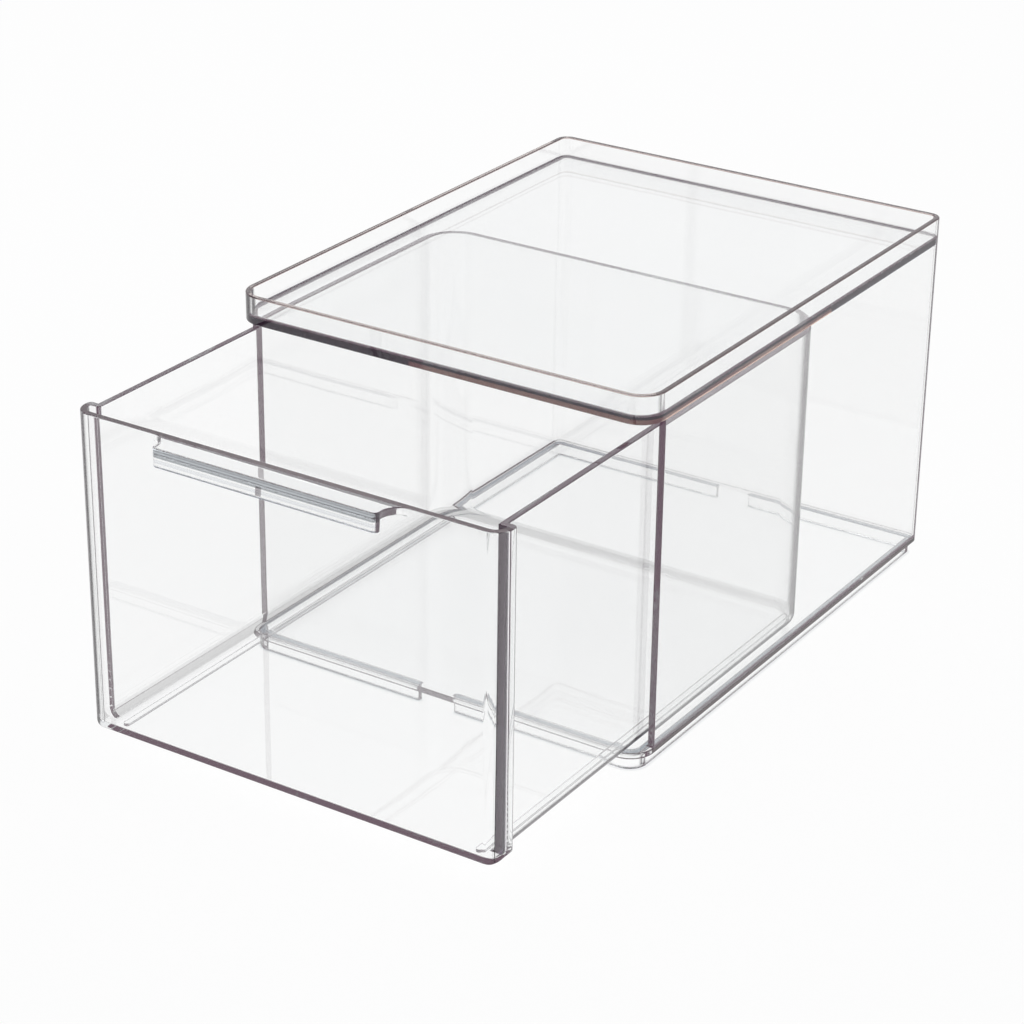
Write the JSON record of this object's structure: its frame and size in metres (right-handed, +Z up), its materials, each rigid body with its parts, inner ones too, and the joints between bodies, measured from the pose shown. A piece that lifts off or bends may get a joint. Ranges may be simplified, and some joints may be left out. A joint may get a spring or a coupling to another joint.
{
  "type": "stackable drawer box",
  "caption": "Clear stackable drawer box: open-fronted case with a rimmed top and a nesting foot, and a smooth deep drawer with a handle lip that slides in it on ribs.",
  "frame": {"origin": "middle of the footprint of the box as it stands open by 108 mm, on the surface that its foot stands on", "axes": "+X to the right seen from the front, +Y from the drawer's front to the back wall, +Z up"},
  "size_m": [0.21, 0.387, 0.174],
  "materials": {
    "case_clear": "clear, polished",
    "drawer_clear": "clear, polished"
  },
  "bodies": {
    "case": {"case": "case_clear"},
    "drawer": {"drawer": "drawer_clear"}
  },
  "joints": [
    {"name": "drawer_slide", "type": "slide", "parent": "case", "child": "drawer", "axis": [0, -1, 0], "range_m": [-0.108, 0.092]}
  ]
}
